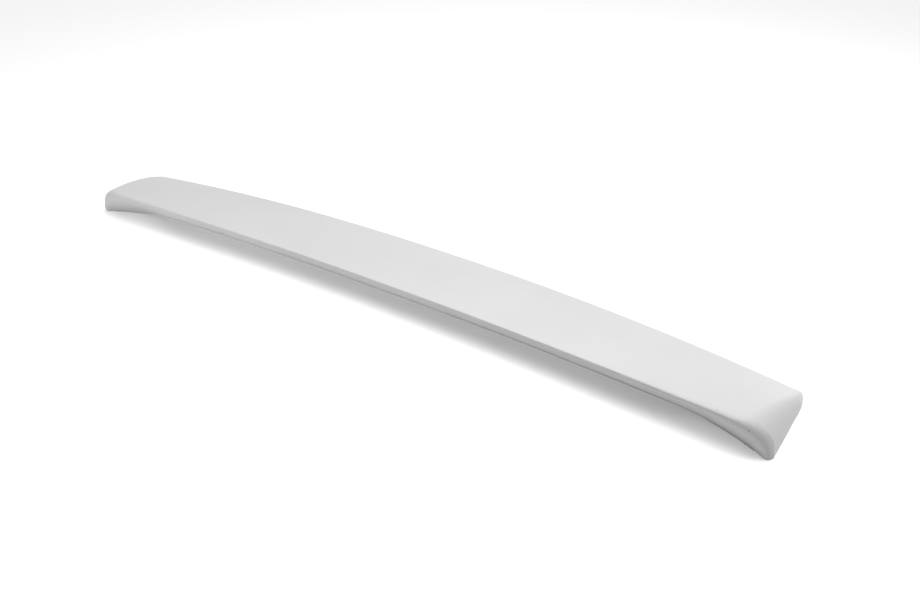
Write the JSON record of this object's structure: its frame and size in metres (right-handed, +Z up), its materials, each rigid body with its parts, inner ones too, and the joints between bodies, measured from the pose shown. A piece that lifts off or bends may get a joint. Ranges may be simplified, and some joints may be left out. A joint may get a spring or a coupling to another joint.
{
  "type": "rear roof spoiler",
  "caption": "One-piece moulded rear roof spoiler in grey primer: a long crowned blade with a thin rear face and rolled ends that drop to bonding feet.",
  "frame": {"origin": "middle of the part on the bonding plane that both feet stand on", "axes": "+X along the span to the right end as seen from behind, +Y forward to the leading edge, +Z up"},
  "size_m": [1.1908, 0.1734, 0.0464],
  "materials": {
    "primer": "satin light grey primer on a moulded shell"
  },
  "bodies": {
    "root": {"spoiler": "primer"}
  },
  "joints": []
}
